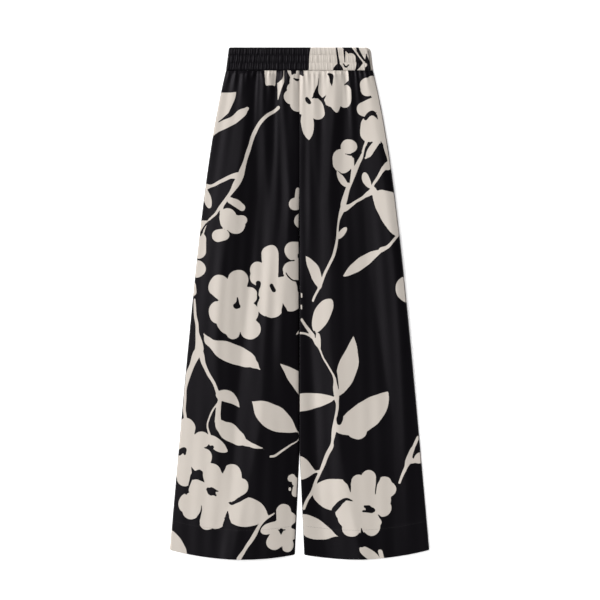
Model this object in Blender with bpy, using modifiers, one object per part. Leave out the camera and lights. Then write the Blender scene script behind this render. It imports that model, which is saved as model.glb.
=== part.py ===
"""Palazzo pants laid flat: four leg panels and an elastic waistband, the front over the back.

Axes: +X to the wearer's left, +Y towards the waist, +Z up from the surface that the back lies on.
The origin is under the middle of the garment, on that surface. Everything is in metres.
"Depth" is the distance down the garment from the waist edge. "Across" runs over one leg from 0 at
the centre front or the inseam to 1 at the side seam.
"""

import math

import bmesh
import bpy
import numpy as np

# Size of the garment, laid flat and relaxed
LENGTH = 1.050  # waist edge to the lowest point of the hem
WAIST_WIDTH = 0.290  # along the waist edge
BAND_FOOT_WIDTH = 0.302  # along the seam between band and legs
BAND_HEIGHT = 0.0475
HEM_WIDTH = 0.533  # side seam to side seam, over both legs
SIDE_FLARE = 0.087  # how much a side seam leans out for each metre down, below the hip
HIP_FADE = 0.190  # depth over which the side turns from the waist into that straight line
HEM_RADIUS = 0.580  # the hem of each leg is cut as an arc
HEM_LOWEST = 0.115  # how far from the centre that arc is lowest
RISE = 0.315  # waist edge to the crotch
LEGS_PART = 0.830  # depth where the two inseams begin to part
HEM_GAP = 0.020  # between the two legs at the hem

# Thickness of the cloth and room between the pieces
WALL = 0.0012  # one layer of cloth
SEAM_GAP = 0.0003  # between neighbours at a seam
LAYER_GAP = 0.0005  # between the back and the front where the front lies lowest
SEAM_ROLL = 0.0012  # the back's side seam shows this far past the front's
BAND_WALL = 0.0030  # cloth over elastic, one side of the band
FRONT_LOW = WALL + LAYER_GAP + WALL  # top of the front where it lies lowest
FOLD_ROOM = 0.0034  # the highest that a fold stands above that

# The waistband: elastic channels, puffed and gathered between their stitch lines
CHANNELS = 3
CHANNEL_SHARES = (0.0, 0.22, 0.78)  # rows of the mesh, as shares of a channel's height
CHANNEL_PUFF = 0.0016
BAND_GATHERS = 52  # across the front
BAND_GATHER_HEIGHT = 0.0020
BAND_LOW = 2 * BAND_WALL + SEAM_GAP - 0.0008  # top of the front of the band at a stitch line
BAND_CORNER = 0.006  # radius of the two upper corners

# Gathers of each leg's front under the band
LEG_GATHERS = 12
COLUMNS_PER_GATHER = 4
GATHER_HEIGHT = 0.0028
GATHER_LENGTH = 0.075  # depth over which a middling gather dies away
GATHER_UNEVEN = 0.5  # how far the gathers stray from an even spacing, in gathers
PUFF = 0.0008  # the cloth between the gathers, just under the band
PUFF_LENGTH = 0.110

# Long folds of each leg's front: a row for each fold, a value at each of these depths
STATIONS = (0.0475, 0.210, 0.405, 0.703, 1.040)  # band, hip, thigh, knee and hem
FOLD_COLUMNS = ("crest", "height_mm", "centre_flank_mm", "side_flank_mm")
FOLDS_RIGHT = [
    ((0.89, 0.88, 0.90, 0.90, 0.90), (1.6, 1.0, 0.7, 0.7, 0.6), (8, 14, 16, 16, 18), (12, 12, 12, 14, 16)),
    ((0.67, 0.62, 0.72, 0.68, 0.66), (2.6, 2.8, 3.0, 2.6, 1.6), (12, 16, 48, 36, 42), (34, 38, 56, 60, 60)),
    ((0.52, 0.38, 0.26, 0.34, 0.30), (2.6, 3.2, 3.4, 2.8, 1.6), (12, 12, 20, 24, 46), (16, 20, 34, 38, 50)),
    ((0.22, 0.16, 0.11, 0.10, 0.12), (2.4, 2.6, 2.4, 1.5, 0.9), (8, 10, 14, 16, 18), (10, 12, 18, 24, 30)),
]
FOLDS_LEFT = [
    ((0.06, 0.05, 0.06, 0.15, 0.16), (1.6, 1.6, 1.2, 1.7, 1.2), (7, 7, 8, 18, 22), (7, 8, 12, 24, 28)),
    ((0.39, 0.34, 0.32, 0.34, 0.38), (2.8, 3.2, 3.2, 2.4, 1.7), (24, 26, 28, 30, 42), (18, 26, 54, 62, 62)),
    ((0.66, 0.68, 0.69, 0.70, 0.70), (2.4, 1.7, 0.5, 0.3, 0.3), (12, 14, 16, 18, 20), (16, 18, 20, 22, 24)),
    ((0.93, 0.89, 0.89, 0.90, 0.93), (1.4, 2.4, 3.0, 2.8, 1.5), (16, 34, 56, 42, 32), (10, 12, 16, 20, 18)),
]

# Mesh steps
FRONT_ROWS = 28
ROWS_CROWD = 1.45  # over 1 crowds the rows of a front towards the band
BACK_COLUMNS = 8
BACK_ROWS = 14

BLACK_SATIN = (0.013, 0.013, 0.015, 1.0)
BAND_SATIN = (0.016, 0.016, 0.018, 1.0)
MM = 0.001


def smooth(value):
    """0 below 0, 1 above 1, and an easy turn between."""
    share = min(1.0, max(0.0, value))
    return share * share * (3 - 2 * share)


def half_width(depth):
    """From the centre out to the side seam: a straight flare, drawn in at the waist."""
    side_corner = LENGTH - (HEM_WIDTH / 2 - HEM_LOWEST) ** 2 / (2 * HEM_RADIUS)
    straight_at_band = HEM_WIDTH / 2 - SIDE_FLARE * (side_corner - BAND_HEIGHT)
    drawn_in = straight_at_band - BAND_FOOT_WIDTH / 2
    below_band = depth - BAND_HEIGHT
    return straight_at_band + SIDE_FLARE * below_band - drawn_in * math.exp(-below_band / HIP_FADE)


def inner_edge(depth):
    """From the centre out to the centre front seam or, below the crotch, to the inseam."""
    parting = max(0.0, depth - LEGS_PART) / (LENGTH - LEGS_PART)
    return SEAM_GAP / 2 + (HEM_GAP - SEAM_GAP) / 2 * parting


def hem_depth(from_centre):
    """The hem is an arc, lowest at HEM_LOWEST from the centre."""
    return LENGTH - (from_centre - HEM_LOWEST) ** 2 / (2 * HEM_RADIUS)


def leg_point(across, down, side, roll=0.0):
    """x, y and depth of a point of a leg: down is 0 at the band's seam and 1 at the hem."""
    inner_hem = inner_edge(LENGTH)
    at_hem = inner_hem + across * (HEM_WIDTH / 2 - roll - inner_hem)
    top = BAND_HEIGHT + SEAM_GAP
    depth = top + down * (hem_depth(at_hem) - top)
    inner = inner_edge(depth)
    x = inner + across * (half_width(depth) - roll - inner)
    return side * x, LENGTH / 2 - depth, depth


def fold_height(row, across, depth):
    """One long fold: a crest that wanders down the leg, with a soft flank on each side."""
    fold = {name: np.interp(depth, STATIONS, values) for name, values in zip(FOLD_COLUMNS, row)}
    away = (across - fold["crest"]) * half_width(depth)
    flank = fold["side_flank_mm"] if away > 0 else fold["centre_flank_mm"]
    return fold["height_mm"] * MM * smooth(1 - abs(away) / (flank * MM))


def gather_height(across, depth, shift):
    """The gathers under the band: each stands alone, and some run longer than others."""
    phase = LEG_GATHERS * across + GATHER_UNEVEN * math.sin(7 * across + shift)
    unevenness = math.sin(2.4 * round(phase) + shift)
    length = GATHER_LENGTH * (1.0 + 0.5 * unevenness)
    height = GATHER_HEIGHT * (0.8 + 0.2 * unevenness)
    ridge = 0.5 + 0.5 * math.cos(2 * math.pi * phase)
    return height * ridge * math.exp(-(((depth - BAND_HEIGHT) / length) ** 2))


def front_top(across, depth, folds, shift):
    """Height of the front's upper side: folds and gathers that flatten towards the seams."""
    below_band = depth - BAND_HEIGHT
    relief = PUFF * math.exp(-((below_band / PUFF_LENGTH) ** 2))
    relief += sum(fold_height(row, across, depth) for row in folds)
    relief += gather_height(across, depth, shift)
    centre_hold = 0.45 * smooth((RISE - depth) / RISE)
    at_centre = centre_hold + (1 - centre_hold) * smooth(across * half_width(depth) / 0.014)
    at_side = smooth(((1 - across) * half_width(depth) + 0.003) / 0.016)
    return FRONT_LOW + FOLD_ROOM * math.tanh(relief / FOLD_ROOM) * at_centre * at_side


def satin(name, colour, roughness):
    """A plain satin, as one Principled shader."""
    material = bpy.data.materials.new(name)
    material.use_nodes = True
    shader = material.node_tree.nodes["Principled BSDF"]
    shader.inputs["Base Color"].default_value = colour
    shader.inputs["Roughness"].default_value = roughness
    shader.inputs["Metallic"].default_value = 0.0
    material.diffuse_color = colour
    return material


def sheet(name, columns, rows, place, material, collection):
    """A grid of faces, facing up, with each point put where place(along_x, down) says."""
    grid = bmesh.new()
    bmesh.ops.create_grid(grid, x_segments=columns, y_segments=rows, size=0.5)
    for point in grid.verts:
        point.co = place(point.co.x + 0.5, 0.5 - point.co.y)
    mesh = bpy.data.meshes.new(name)
    grid.to_mesh(mesh)
    grid.free()
    mesh.materials.append(material)
    piece = bpy.data.objects.new(name, mesh)
    collection.objects.link(piece)
    return piece


def give_wall(piece, thickness):
    """Thickens a sheet downwards, so that its points stay the upper side."""
    wall = piece.modifiers.new("wall", "SOLIDIFY")
    wall.thickness = thickness
    wall.offset = -1.0
    wall.use_even_offset = True
    wall.use_rim = True


def close_below(piece, underside):
    """Closes a sheet into a solid with a level underside of one face."""
    solid = bmesh.new()
    solid.from_mesh(piece.data)
    made = bmesh.ops.extrude_face_region(solid, geom=solid.faces[:])["geom"]
    for point in made:
        if isinstance(point, bmesh.types.BMVert):
            point.co.z = underside
    below = [face for face in made if isinstance(face, bmesh.types.BMFace)]
    bmesh.ops.dissolve_faces(solid, faces=below, use_verts=False)
    bmesh.ops.recalc_face_normals(solid, faces=solid.faces[:])
    solid.to_mesh(piece.data)
    solid.free()


def leg_front(name, side, folds, shift, material, collection):
    """One front: side is -1 for the wearer's right leg and 1 for the left."""

    def place(along_x, down):
        across = along_x if side > 0 else 1 - along_x
        x, y, depth = leg_point(across, down**ROWS_CROWD, side, SEAM_ROLL)
        return x, y, front_top(across, depth, folds, shift)

    columns = LEG_GATHERS * COLUMNS_PER_GATHER
    piece = sheet(name, columns, FRONT_ROWS, place, material, collection)
    give_wall(piece, WALL)


def leg_back(name, side, material, collection):
    """One back: a layer of cloth that lies flat on the surface below."""

    def place(along_x, down):
        across = along_x if side > 0 else 1 - along_x
        x, y, _ = leg_point(across, down, side)
        return x, y, WALL

    piece = sheet(name, BACK_COLUMNS, BACK_ROWS, place, material, collection)
    give_wall(piece, WALL)


def band_half_width(depth):
    """From the centre out to the band's side, with the upper corners rounded off."""
    slope = (BAND_FOOT_WIDTH - WAIST_WIDTH) / 2 / BAND_HEIGHT
    short_of_corner = max(0.0, BAND_CORNER - depth)
    rounding = BAND_CORNER - math.sqrt(BAND_CORNER**2 - short_of_corner**2)
    return WAIST_WIDTH / 2 + slope * depth - rounding


def band_top(along_x, depth):
    """Height of the band's front: channels puffed between the stitch lines, and gathered."""
    in_channel = (depth / BAND_HEIGHT * CHANNELS) % 1.0
    puff = math.sin(math.pi * in_channel) ** 0.6
    phase = along_x * BAND_GATHERS
    unevenness = 0.75 + 0.25 * math.sin(1.7 * round(phase) + 2.0)
    ridge = unevenness * (0.5 + 0.5 * math.cos(2 * math.pi * phase))
    relief = CHANNEL_PUFF * puff + BAND_GATHER_HEIGHT * ridge * (0.35 + 0.65 * puff)
    from_side = min(along_x, 1 - along_x) * BAND_FOOT_WIDTH
    return BAND_LOW + relief * smooth((from_side + 0.002) / 0.010)


def band_front(name, material, collection):
    """The front of the waistband: gathered channels above, plain inside."""
    height = BAND_HEIGHT / CHANNELS
    depths = [height * (channel + share) for channel in range(CHANNELS) for share in CHANNEL_SHARES]
    depths.append(BAND_HEIGHT)

    def place(along_x, down):
        depth = depths[round(down * (len(depths) - 1))]
        x = (2 * along_x - 1) * (band_half_width(depth) - SEAM_ROLL)
        return x, LENGTH / 2 - depth, band_top(along_x, depth)

    piece = sheet(name, 2 * BAND_GATHERS, len(depths) - 1, place, material, collection)
    close_below(piece, BAND_WALL + SEAM_GAP)


def band_back(name, material, collection):
    """The back of the waistband: it lies flat, and the front lies on it."""

    def place(along_x, down):
        depth = BAND_HEIGHT * down**2
        return (2 * along_x - 1) * band_half_width(depth), LENGTH / 2 - depth, BAND_WALL

    piece = sheet(name, 2, 10, place, material, collection)
    close_below(piece, 0.0)


def clear_scene():
    for thing in list(bpy.data.objects):
        bpy.data.objects.remove(thing, do_unlink=True)


def main():
    clear_scene()
    pants = bpy.data.collections.new("palazzo_pants")
    bpy.context.scene.collection.children.link(pants)
    leg_satin = satin("leg_satin", BLACK_SATIN, 0.42)
    band_satin = satin("band_satin", BAND_SATIN, 0.45)
    leg_back("leg_back_right", -1, leg_satin, pants)
    leg_back("leg_back_left", 1, leg_satin, pants)
    leg_front("leg_front_right", -1, FOLDS_RIGHT, 0.4, leg_satin, pants)
    leg_front("leg_front_left", 1, FOLDS_LEFT, 2.1, leg_satin, pants)
    band_back("waistband_back", band_satin, pants)
    band_front("waistband_front", band_satin, pants)


main()
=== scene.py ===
import math

import bpy
import numpy as np
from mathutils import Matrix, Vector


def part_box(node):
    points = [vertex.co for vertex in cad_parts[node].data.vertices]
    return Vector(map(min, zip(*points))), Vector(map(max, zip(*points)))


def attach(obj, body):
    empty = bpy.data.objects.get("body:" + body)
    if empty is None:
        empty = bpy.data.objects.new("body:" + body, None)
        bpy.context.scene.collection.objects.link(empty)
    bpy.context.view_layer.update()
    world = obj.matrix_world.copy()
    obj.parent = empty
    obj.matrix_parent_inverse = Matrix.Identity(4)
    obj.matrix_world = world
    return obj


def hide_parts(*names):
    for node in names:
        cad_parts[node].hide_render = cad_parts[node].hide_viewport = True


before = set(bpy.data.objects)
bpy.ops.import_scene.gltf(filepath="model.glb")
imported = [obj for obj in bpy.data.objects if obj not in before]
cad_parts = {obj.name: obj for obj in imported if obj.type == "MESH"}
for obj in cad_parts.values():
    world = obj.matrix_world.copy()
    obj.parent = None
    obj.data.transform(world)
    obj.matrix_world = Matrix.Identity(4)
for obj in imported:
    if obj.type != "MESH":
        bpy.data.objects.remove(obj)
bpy.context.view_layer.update()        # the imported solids, which stay where they are
print("frame loaded:", sorted(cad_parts))

mm = 0.001
bandLow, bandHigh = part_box("waistband_back")
legLow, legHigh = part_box("leg_back_left")

# The cut, in metres. Depth is measured down from the waist edge, and "across" runs over one leg
# from 0 at the centre seam or the inseam to 1 at the side seam.
cut = {
    "waistY": bandHigh.y,
    "length": bandHigh.y - legLow.y,
    "bandHeight": bandHigh.y - bandLow.y,
    "bandFoot": bandHigh.x - bandLow.x,
    "waistWidth": 0.290,
    "legTop": bandHigh.y - legHigh.y,
    "hemHalf": legHigh.x,
    "sideFlare": 0.087,      # how far a side seam runs out for each metre down
    "hipFade": 0.190,        # depth over which the drawing in at the band dies away
    "hemRadius": 0.580,      # of the hem's arc
    "hemLowest": 0.115,      # from the centre to the arc's lowest point
    "rise": 0.315,           # waist edge to crotch
    "legsPart": 0.830,       # depth where a gap opens between the legs
    "hemGap": 0.020,         # its width at the hem
    "seamGap": 0.00002,
    "seamRoll": 0.0011,      # how far inside the back's side seam the front's lies
    "groove": {"right": 0.0016, "left": 0.0010},     # how far a front stays clear of the inseam
    "silk": 0.0004,          # thickness of the cloth
    "hemTurn": 0.060,
}
# side is -1 towards -X. The seeds set each panel's fine unevenness.
legs = {
    "right": {"side": -1, "seed": 3, "backSeed": 21},
    "left": {"side": 1, "seed": 8, "backSeed": 22},
}


def smooth(value):
    # 0 below 0, 1 above 1, and an easy turn between: 3 share^2 - 2 share^3
    share = np.clip(value, 0.0, 1.0)
    return share * share * (3 - 2 * share)


def blendTo(a, b, share):
    # a at share 0, b at share 1
    return a + (b - a) * share


def pastCrotch(depth, start, run):
    # Eases from 0 to 1 over a run that begins at start, both as shares of the rise
    return smooth((depth - start * cut["rise"]) / (run * cut["rise"]))


def halfWidth(depth):
    # Centre to side seam: a straight flare, drawn in towards the band by an exponential
    corner = cut["length"] - (cut["hemHalf"] - cut["hemLowest"]) ** 2 / (2 * cut["hemRadius"])
    straight = cut["hemHalf"] - cut["sideFlare"] * (corner - cut["bandHeight"])
    below = depth - cut["bandHeight"]
    drawnIn = straight - cut["bandFoot"] / 2
    return straight + cut["sideFlare"] * below - drawnIn * np.exp(-below / cut["hipFade"])


def innerEdge(depth):
    # Centre to the inseam: a hair, then a straight parting to half the gap at the hem
    parting = np.clip((depth - cut["legsPart"]) / (cut["length"] - cut["legsPart"]), 0.0, None)
    return cut["seamGap"] / 2 + (cut["hemGap"] - cut["seamGap"]) / 2 * parting


def hemDepth(fromCentre):
    # The hem is an arc, lowest at hemLowest from the centre
    return cut["length"] - (fromCentre - cut["hemLowest"]) ** 2 / (2 * cut["hemRadius"])


def legPlan(across, down, roll=0.0, groove=0.0):
    # Distance from the centre and depth of a leg's point: down is 0 at the band and 1 at the hem.
    # Each row runs from the inner edge to the side seam, and the groove opens round the crotch.
    innerHem = innerEdge(cut["length"])
    atHem = innerHem + across * (cut["hemHalf"] - roll - innerHem)
    depth = cut["legTop"] + down * (hemDepth(atHem) - cut["legTop"])
    inner = innerEdge(depth) + groove * pastCrotch(depth, start=0.9, run=0.3)
    return inner + across * (halfWidth(depth) - roll - inner), depth


def hemLine(across):
    # Depth of the hem's stitching, level with the hem
    return hemDepth(legPlan(across, 1.0)[0]) - cut["hemTurn"]


def bothEnds(count, crowd):
    # Shares from 0 to 1 that crowd towards both ends: u - crowd * sin(2 pi u) / 2 pi
    u = np.linspace(0.0, 1.0, count)
    return u - crowd * np.sin(2 * math.pi * u) / (2 * math.pi)


def roundedOff(share):
    # A quarter circle: 0 at share 0, upright there, and level at share 1
    return np.sqrt(np.clip(1 - (1 - np.clip(share, 0, 1)) ** 2, 0, 1))


def normalsOf(points):
    # Unit normals of a grid: the cross product of its two central differences
    downward = np.gradient(points, axis=0)
    sideways = np.gradient(points, axis=1)
    normals = np.cross(downward, sideways)
    return normals / np.maximum(np.linalg.norm(normals, axis=2, keepdims=True), 1e-12)


coarse = 4               # a shell's inner wall has one cell for this many of the outer wall's


def loopOf(index):
    # The edge of a grid of numbers, once round
    return np.concatenate([index[:-1, 0], index[-1, :-1], index[:0:-1, -1], index[0, :0:-1]])


def newPiece(name, points, faces, flat=0):
    # A mesh object of these points and faces, shaded smooth but for the last few that are flat
    mesh = bpy.data.meshes.new(name)
    mesh.from_pydata(points.reshape(-1, 3).tolist(), [], faces)
    smoothFaces = np.ones(len(faces), bool)
    smoothFaces[len(faces) - flat:] = False
    mesh.polygons.foreach_set("use_smooth", smoothFaces)
    piece = bpy.data.objects.new(name, mesh)
    bpy.context.scene.collection.objects.link(piece)
    return piece


def closedGrid(name, shown, hidden, ink, flipped=False):
    # A fine wall that shows and a coarse one behind it, joined by faces round their edge. Rows
    # run down and columns towards +X for a wall that faces up; flipped turns it to face down.
    # ink is the field of the print, and of any painted shade a caller sets over it, at each point of the
    # fine wall.
    hidden = hidden[::coarse, ::coarse]
    fine = np.arange(shown.shape[0] * shown.shape[1]).reshape(shown.shape[:2])
    rough = np.arange(hidden.shape[0] * hidden.shape[1]).reshape(hidden.shape[:2]) + fine.size

    def quadsOf(index):
        around = [index[:-1, :-1], index[1:, :-1], index[1:, 1:], index[:-1, 1:]]
        return np.stack(around, axis=2).reshape(-1, 4)

    outer, inner = loopOf(fine), loopOf(rough)
    steps = np.arange(len(inner))
    rim = [outer[(steps * coarse + step) % len(outer)] for step in range(coarse, -1, -1)]
    rim = np.stack(rim + [inner, np.roll(inner, -1)], axis=1)
    faces = []
    for group in (quadsOf(fine), quadsOf(rough)[:, ::-1], rim):
        faces += (group[:, ::-1] if flipped else group).tolist()
    points = np.concatenate([shown.reshape(-1, 3), hidden.reshape(-1, 3)])
    piece = newPiece(name, points, faces, flat=len(rim))
    field = np.concatenate([ink.ravel(), ink[::coarse, ::coarse].ravel()])
    attribute = piece.data.attributes.new("print", "FLOAT", "POINT")
    attribute.data.foreach_set("value", field.astype(np.float32))
    return piece


# The cloth runs nearly straight from one fold line to the next and bends softly over each. A line
# has its place across the leg and then its height, in millimetres above where the cloth lies
# lowest, at each of these depths. The lines go from the centre to the side.
foldDepths = (0.055, 0.130, 0.210, 0.310, 0.440, 0.600, 0.765, 0.930, 1.050)
centreLine = (0,) * len(foldDepths)
sideLine = (1,) * len(foldDepths)
foldLines = {
    "right": [
        (centreLine,
         (1.0, 0.8, 1.2, 1.0, 0.6, 0.3, 0.1, 0.1, 0.1)),
        ((0.20, 0.19, 0.15, 0.10, 0.12, 0.16, 0.14, 0.16, 0.16),
         (3.5, 3.2, 3.4, 4.4, 4.6, 4.2, 3.2, 3.6, 4.0)),
        ((0.27, 0.25, 0.22, 0.19, 0.20, 0.24, 0.22, 0.26, 0.30),
         (1.2, 1.5, 1.6, 2.0, 3.2, 3.4, 4.8, 5.2, 5.2)),
        ((0.30, 0.27, 0.245, 0.235, 0.27, 0.315, 0.32, 0.43, 0.50),
         (2.0, 2.1, 2.0, 3.2, 3.6, 4.4, 6.6, 7.0, 6.8)),
        ((0.32, 0.295, 0.285, 0.315, 0.335, 0.42, 0.42, 0.48, 0.54),
         (0.8, 0.8, 0.8, 2.0, 1.9, 2.7, 4.5, 5.8, 5.8)),
        ((0.51, 0.43, 0.385, 0.33, 0.345, 0.43, 0.43, 0.49, 0.55),
         (3.5, 3.3, 3.2, 1.9, 1.8, 2.6, 4.4, 5.7, 5.7)),
        ((0.60, 0.55, 0.495, 0.44, 0.45, 0.51, 0.54, 0.55, 0.60),
         (1.5, 1.6, 1.4, 1.0, 0.9, 1.2, 2.6, 4.0, 4.0)),
        ((0.71, 0.66, 0.65, 0.70, 0.745, 0.745, 0.675, 0.65, 0.69),
         (4.0, 4.5, 5.5, 5.8, 5.3, 4.8, 5.0, 4.4, 3.0)),
        (sideLine,
         (1.5, 1.2, 1.0, 0.8, 0.6, 0.6, 0.6, 0.6, 0.6)),
    ],
    "left": [
        (centreLine,
         (1.0, 0.8, 1.2, 0.8, 0.5, 1.6, 2.8, 2.8, 2.4)),
        ((0.035, 0.035, 0.03, 0.03, 0.03, 0.03, 0.03, 0.03, 0.03),
         (2.6, 1.8, 1.7, 1.2, 1.4, 1.4, 2.6, 2.5, 2.1)),
        ((0.08, 0.07, 0.065, 0.05, 0.045, 0.05, 0.06, 0.06, 0.07),
         (1.6, 1.2, 1.0, 1.1, 1.2, 0.9, 1.8, 1.7, 1.5)),
        ((0.135, 0.12, 0.11, 0.11, 0.07, 0.075, 0.09, 0.10, 0.12),
         (3.2, 2.4, 1.9, 2.4, 1.9, 0.6, 0.6, 0.7, 0.7)),
        ((0.175, 0.155, 0.135, 0.15, 0.135, 0.10, 0.13, 0.15, 0.175),
         (2.0, 1.8, 1.6, 1.6, 1.2, 0.3, 0.1, 0.1, 0.1)),
        ((0.23, 0.21, 0.19, 0.20, 0.195, 0.175, 0.20, 0.23, 0.27),
         (3.4, 2.9, 2.4, 2.2, 2.2, 2.2, 2.2, 1.9, 1.4)),
        ((0.315, 0.27, 0.245, 0.21, 0.205, 0.19, 0.22, 0.25, 0.30),
         (1.6, 1.5, 1.9, 2.2, 2.2, 2.4, 2.6, 2.2, 1.8)),
        ((0.48, 0.43, 0.365, 0.305, 0.305, 0.275, 0.315, 0.375, 0.46),
         (4.8, 4.8, 3.8, 3.8, 3.8, 4.2, 5.2, 5.0, 5.2)),
        ((0.62, 0.555, 0.495, 0.445, 0.435, 0.385, 0.40, 0.47, 0.55),
         (0.8, 0.8, 0.6, 1.2, 2.4, 3.0, 4.0, 3.6, 2.6)),
        ((0.70, 0.625, 0.585, 0.56, 0.535, 0.51, 0.52, 0.56, 0.61),
         (3.6, 2.4, 1.6, 1.6, 2.0, 2.0, 2.8, 2.8, 2.0)),
        ((0.785, 0.71, 0.665, 0.665, 0.66, 0.725, 0.79, 0.755, 0.715),
         (2.2, 1.7, 1.2, 1.4, 1.2, 0.7, 0.9, 1.3, 0.9)),
        ((0.925, 0.90, 0.91, 0.91, 0.93, 0.91, 0.885, 0.85, 0.82),
         (3.8, 3.4, 4.6, 5.2, 5.6, 4.4, 2.8, 2.2, 1.2)),
        ((0.965, 0.96, 0.96, 0.965, 0.97, 0.955, 0.935, 0.92, 0.905),
         (2.6, 2.8, 3.6, 4.1, 4.4, 3.6, 1.9, 1.5, 0.9)),
        (sideLine,
         (1.2, 1.7, 2.2, 2.6, 2.6, 2.2, 1.2, 0.9, 0.8)),
    ],
}
# Gathers that run on below the band: each starts at one place across and ends at another, and is
# a bell as high and as wide as given, in millimetres, that dies away by its length.
flareColumns = ("from", "to", "length", "height", "width")
flareLines = {
    "right": [
        (0.955, 0.955, 30, 1.2, 3.0), (0.866, 0.860, 42, 2.0, 3.6), (0.770, 0.735, 60, 1.6, 3.4),
        (0.712, 0.700, 26, 1.6, 2.6), (0.625, 0.640, 16, 1.8, 2.6), (0.558, 0.500, 160, 0.6, 2.8),
        (0.530, 0.485, 20, 1.4, 2.0), (0.470, 0.440, 130, 0.9, 3.4), (0.415, 0.400, 36, 1.8, 3.0),
        (0.370, 0.350, 70, 1.7, 4.5), (0.240, 0.200, 90, 1.2, 3.0), (0.165, 0.150, 34, 1.6, 3.0),
        (0.085, 0.070, 140, 1.5, 4.5), (0.030, 0.030, 40, 1.2, 2.5),
    ],
    "left": [
        (0.050, 0.040, 60, 1.4, 2.6), (0.110, 0.110, 36, 1.6, 3.0), (0.190, 0.160, 110, 1.5, 3.0),
        (0.260, 0.230, 40, 1.8, 3.0), (0.330, 0.320, 90, 1.2, 4.0), (0.400, 0.370, 50, 1.8, 3.4),
        (0.475, 0.470, 24, 1.1, 2.6), (0.560, 0.560, 34, 1.6, 3.0), (0.600, 0.545, 120, 0.8, 2.6),
        (0.665, 0.600, 180, 0.8, 3.4), (0.770, 0.740, 70, 1.5, 2.6), (0.830, 0.820, 24, 1.5, 3.0),
        (0.900, 0.890, 40, 1.4, 3.0), (0.965, 0.965, 30, 1.0, 2.6),
    ],
}
gathers = {
    "fine": 19,             # small gathers of one leg, which die away close to the band
    "fineHeight": 1.5,      # millimetres, as all lengths here
    "fineLength": 9,
    "fineRound": 0.7,       # the power of a cosine: less is rounder on top, sharper between
    "spread": 2.2,          # how many times wider a gather is at its end
    "widest": 1.5,          # how many lengths down it stops widening
    "tucked": 0.42,         # how high the cloth stands right at the band's seam
    "tuckLength": 9,
}
drape = {
    "low": 2.9,             # top of the front where it lies lowest
    "room": 14.0,           # the highest that a fold stands above that
    "scale": 1.35,          # of the fold lines' heights
    "bend": 2.2,            # how softly the cloth bends over a line
    "closest": 0.5,         # two lines are never taken as closer than this
    "ease": 19,             # steps of 5 mm down the leg over which a line is eased
    "seamTop": 1.55,        # where the front meets the back
    "seamRound": 1.2,       # how far the cloth rolls down towards it
    "centreDitch": 1.3,     # depth of the centre seam above the crotch
    "centreRound": {"right": 8.0, "left": 1.0},
    "leftLower": 0.15,      # how far the left front is rolled down along its inseam
    "hemStep": 0.3,         # how much the doubled cloth of the hem stands out
    "hemStepRun": 1.2,
    "ripples": 7,
    "ripple": 0.09,         # height of each, a faint unevenness all over
}


def wander(depth, values):
    # The values at the fold depths, joined by straight runs and then eased by a moving average
    fine = np.linspace(0.0, 1.1, 221)
    kernel = np.hanning(drape["ease"])
    kernel /= kernel.sum()
    lane = np.interp(fine, foldDepths, values)
    eased = np.convolve(np.pad(lane, drape["ease"] // 2, mode="edge"), kernel, mode="valid")
    return np.interp(depth, fine, eased)


def softRamp(value, bend):
    # 0 below 0 and the value itself above it, rounded between: bend * log(1 + exp(value / bend))
    return bend * np.logaddexp(0.0, value / bend)


def foldSurface(across, depth, lines):
    # Each pair of lines adds its slope between two soft ramps
    width = halfWidth(depth) / mm
    places = [wander(depth, place) * width for place, height in lines]
    heights = [wander(depth, height) for place, height in lines]
    here = across * width
    bend = drape["bend"]
    relief = heights[0] + np.zeros_like(here)
    for start, end, low, high in zip(places[:-1], places[1:], heights[:-1], heights[1:]):
        slope = (high - low) / np.maximum(end - start, drape["closest"])
        relief += slope * (softRamp(here - start, bend) - softRamp(here - end, bend))
    return relief


def flares(across, depth, lines):
    # Each gather is a bell that widens as it sinks: height * exp(-(below / length)^2)
    width = halfWidth(depth) / mm
    below = (depth - cut["bandHeight"]) / mm
    relief = np.zeros_like(depth)
    for row in lines:
        flare = dict(zip(flareColumns, row))
        along = below / flare["length"]
        opened = np.clip(along, 0, gathers["widest"])
        place = blendTo(flare["from"], flare["to"], opened)
        bell = flare["width"] * (1 + (gathers["spread"] - 1) * opened)
        away = (across - place) * width / bell
        relief += flare["height"] * np.exp(-along ** 2) * np.exp(-away ** 2)
    return relief


def fineGathers(across, depth, seed):
    # Round tops with sharp valleys between, |cos|^fineRound at a wandering pitch, which die away
    # close to the band
    below = (depth - cut["bandHeight"]) / mm
    phase = gathers["fine"] * across + 0.45 * np.sin(9 * across + seed)
    uneven = 0.7 + 0.3 * np.sin(2.9 * np.round(phase) + seed)
    length = gathers["fineLength"] * (1 + 0.4 * np.sin(1.7 * np.round(phase) + 2 * seed))
    ridge = np.abs(np.cos(math.pi * phase)) ** gathers["fineRound"]
    return gathers["fineHeight"] * uneven * ridge * np.exp(-(below / length) ** 2)


def faintRipple(across, depth, seed):
    # A few long sines across the leg, which drift and come and go as they run down
    random = np.random.default_rng(seed + 50)
    relief = np.zeros_like(depth)
    for number in range(drape["ripples"]):
        waves = random.uniform(3.0, 9.0)
        drift = random.uniform(-5.0, 5.0)
        turn = random.uniform(0.0, 2 * math.pi)
        strength = np.sin(random.uniform(3.0, 9.0) * depth + 3 * turn)
        relief += np.sin(2 * math.pi * waves * across + drift * depth + turn) * strength
    return drape["ripple"] * relief


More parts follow.
